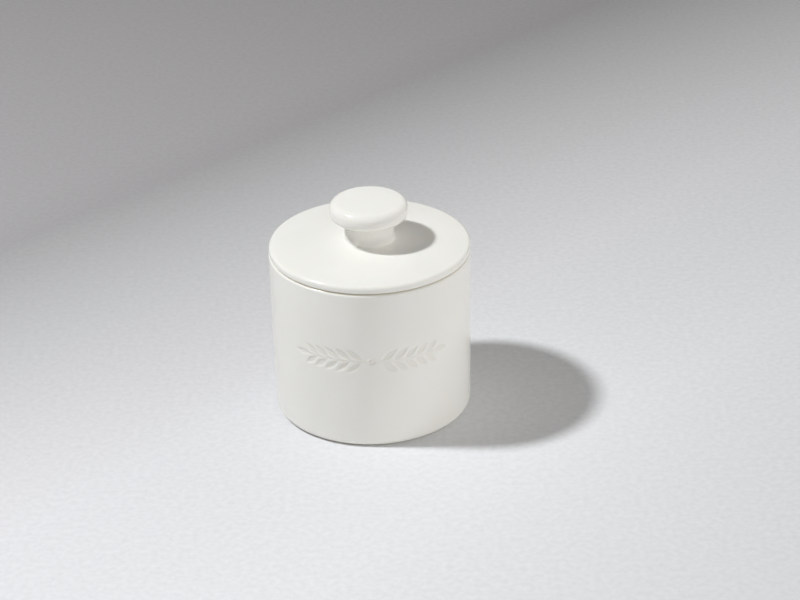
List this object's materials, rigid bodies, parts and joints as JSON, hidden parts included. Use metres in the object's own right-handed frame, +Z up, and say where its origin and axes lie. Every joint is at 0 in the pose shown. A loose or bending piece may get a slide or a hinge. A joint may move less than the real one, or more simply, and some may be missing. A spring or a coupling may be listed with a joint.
{
  "type": "butter crock",
  "caption": "Straight-sided white porcelain butter crock; its knobbed lid carries an open butter cup that hangs down inside the pot, and leaf sprigs are pressed into the front.",
  "frame": {"origin": "on the table, at the centre of the pot's foot", "axes": "+Z up along the axis that the pot, cup and knob are turned about; -Y is the front, where the leaf sprigs are; +X is to the right"},
  "size_m": [0.1, 0.1, 0.1115],
  "materials": {
    "glazed_porcelain": "glossy clear glaze over white porcelain"
  },
  "bodies": {
    "crock": {"crock_body": "glazed_porcelain"},
    "lid": {"lid_plate": "glazed_porcelain", "lid_knob": "glazed_porcelain", "butter_cup": "glazed_porcelain"}
  },
  "joints": [
    {"name": "lid_lift", "type": "slide", "parent": "crock", "child": "lid", "axis": [0, 0, 1], "range_m": [0, 0.09]}
  ]
}
